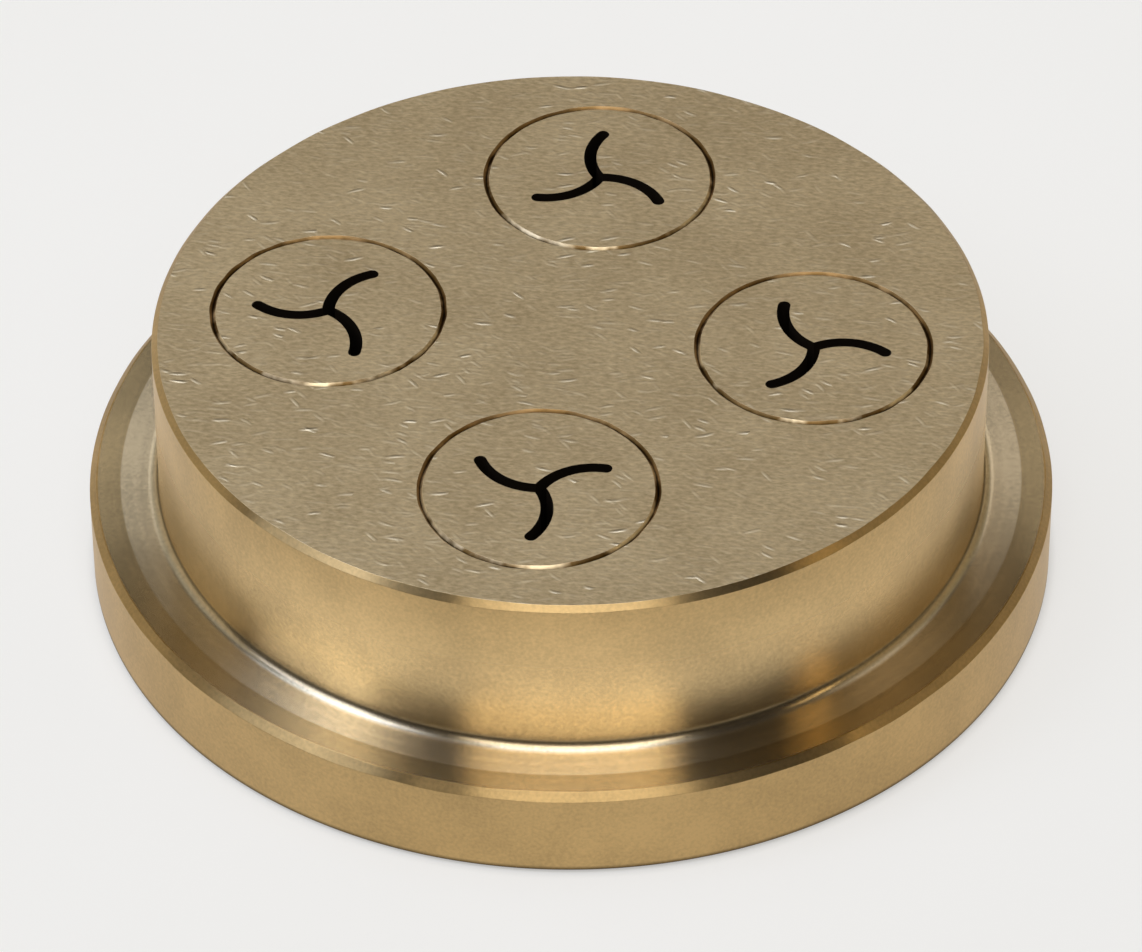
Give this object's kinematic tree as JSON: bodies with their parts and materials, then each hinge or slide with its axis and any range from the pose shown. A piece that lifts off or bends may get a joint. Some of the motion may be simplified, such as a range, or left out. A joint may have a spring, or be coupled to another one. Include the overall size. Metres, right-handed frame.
{
  "type": "pasta extrusion die",
  "caption": "Turned brass pasta die: a flanged disc with a raised boss holding flush round inserts, each with a three-armed curved slot that extrudes twisted pasta.",
  "frame": {"origin": "centre of the back face, which rests on the surface", "axes": "+Z along the die's axis towards the extrusion face, +X and +Y through the centres of the right and back inserts"},
  "size_m": [0.059, 0.059, 0.017],
  "materials": {
    "body_brass": "satin turned sides, face rubbed down on abrasive paper",
    "insert_brass": "face rubbed down with the body, turned and bored inside"
  },
  "bodies": {
    "root": {"die_body": "body_brass", "insert_right": "insert_brass", "insert_back": "insert_brass", "insert_left": "insert_brass", "insert_front": "insert_brass"}
  },
  "joints": []
}
